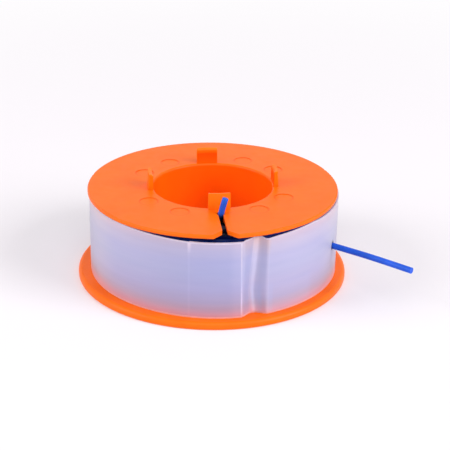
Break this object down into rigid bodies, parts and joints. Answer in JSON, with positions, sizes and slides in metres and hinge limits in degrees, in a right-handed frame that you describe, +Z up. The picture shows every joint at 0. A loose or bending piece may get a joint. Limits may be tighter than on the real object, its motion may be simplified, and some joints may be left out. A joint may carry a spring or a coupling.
{
  "type": "trimmer line spool",
  "caption": "Moulded grass trimmer spool with a through bore, drive dogs and an anchor slit, wound with nylon line that a frosted film band keeps in place.",
  "frame": {"origin": "on the spool's axis, at the bottom face of the larger flange", "axes": "+Z up along the bore towards the drive dogs, -Y through the anchor slit, dogs on X and Y"},
  "size_m": [0.0829, 0.0712, 0.0285],
  "materials": {
    "orange_plastic": "glossy moulded plastic with a soft sheen",
    "blue_line": "smooth extruded nylon monofilament",
    "frosted_film": "frosted see-through film"
  },
  "bodies": {
    "root": {"spool_body": "orange_plastic", "line_winding": "blue_line", "line_tail": "blue_line", "retaining_band": "frosted_film"}
  },
  "joints": []
}
